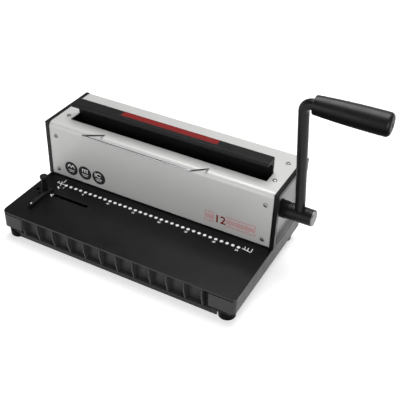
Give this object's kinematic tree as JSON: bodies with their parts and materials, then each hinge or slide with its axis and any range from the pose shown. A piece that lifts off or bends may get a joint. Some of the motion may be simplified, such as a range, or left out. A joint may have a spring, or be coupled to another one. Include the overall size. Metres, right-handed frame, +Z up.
{
  "type": "wire binding machine",
  "caption": "Desk-top hand punch and wire closer: lever-driven pins behind a paper table, hooked closing bar on top.",
  "frame": {"origin": "middle of the base, on the underside of its pan; the feet reach 9 mm below it", "axes": "+Z up, +X along the hole row towards the handle, -Y towards the operator"},
  "size_m": [0.4858, 0.2261, 0.2917],
  "materials": {
    "silver_paint": "satin silver paint",
    "grey_panel": "satin light grey paint",
    "black_paint": "satin black paint",
    "black_bar": "semi-gloss dark grey paint",
    "black_plastic": "fine moulded texture",
    "black_rubber": "smooth rubber",
    "bright_wire": "bright plated",
    "dark_screw": "blackened",
    "screw_steel": "zinc plated",
    "zinc_steel": "zinc plated sheet",
    "tool_steel": "ground",
    "spring_steel": "oiled spring wire",
    "bronze": "sintered bronze"
  },
  "bodies": {
    "machine_body": {"table_moulding": "black_plastic", "base_pan": "black_paint", "rubber_feet": "black_rubber", "foot_screws": "screw_steel", "side_frame_right": "zinc_steel", "side_frame_left": "zinc_steel", "top_shell": "silver_paint", "rear_cover": "silver_paint", "side_panel_right": "grey_panel", "side_panel_left": "grey_panel", "side_rim_right": "black_paint", "side_rim_left": "black_paint", "side_spacers": "zinc_steel", "tie_rods": "zinc_steel", "tie_screws": "screw_steel", "front_screws": "dark_screw", "top_screws": "dark_screw", "rear_screws": "dark_screw", "shaft_bushes": "bronze", "die_supports": "zinc_steel", "die_plate": "tool_steel", "paper_stop": "tool_steel", "punch_guide": "tool_steel", "die_bolts": "screw_steel", "guide_posts": "tool_steel", "wire_trough": "zinc_steel", "closer_rails": "tool_steel", "rail_brackets": "zinc_steel", "wire_rack": "bright_wire", "rack_clamps": "zinc_steel", "return_spring": "spring_steel"},
    "handle": {"main_shaft": "tool_steel", "shaft_ring": "screw_steel", "punch_pinions": "tool_steel", "closer_pinions": "tool_steel", "spring_collar": "tool_steel", "hub_collar": "black_paint", "handle_hub": "black_paint", "hub_set_screws": "dark_screw", "hub_cap": "bright_wire", "handle_arm": "black_paint", "handle_grip": "black_rubber"},
    "punch_carriage": {"punch_bar": "tool_steel", "punch_pins": "tool_steel", "post_bushes": "bronze", "pin_cap": "tool_steel", "cap_screws": "screw_steel", "punch_racks": "tool_steel"},
    "closer": {"closing_bar": "black_bar", "closer_carriers": "tool_steel"},
    "edge_stop": {"edge_guide": "black_plastic", "clamp_nut": "zinc_steel"},
    "clamp": {"clamp_knob": "black_plastic"},
    "drawer": {"chip_drawer": "black_plastic", "drawer_face": "black_plastic"}
  },
  "joints": [
    {"name": "handle_turn", "type": "hinge", "parent": "machine_body", "child": "handle", "pos_m": [0, 0.0314, 0.08624], "axis": [1, 0, 0], "range_deg": [0, 85], "stiffness_Nm_per_rad": 1, "springref_deg": -40.11},
    {"name": "punch_press", "type": "slide", "parent": "machine_body", "child": "punch_carriage", "axis": [0, 0, -1], "range_m": [0, 0.0149]},
    {"name": "closer_slide", "type": "slide", "parent": "machine_body", "child": "closer", "axis": [0, -1, 0], "range_m": [0, 0.0131]},
    {"name": "edge_guide_slide", "type": "slide", "parent": "machine_body", "child": "edge_stop", "axis": [1, 0, 0], "range_m": [-0.012, 0.069]},
    {"name": "clamp_turn", "type": "hinge", "parent": "edge_stop", "child": "clamp", "pos_m": [-0.1571, -0.0402, 0.051], "axis": [0, 0, 1], "range_deg": [0, 180]},
    {"name": "drawer_slide", "type": "slide", "parent": "machine_body", "child": "drawer", "axis": [0, 1, 0], "range_m": [0, 0.1]}
  ],
  "couplings": [
    {"joint": "punch_press", "follows": "handle_turn", "m_per_rad": 0.01},
    {"joint": "closer_slide", "follows": "handle_turn", "m_per_rad": 0.00875}
  ]
}
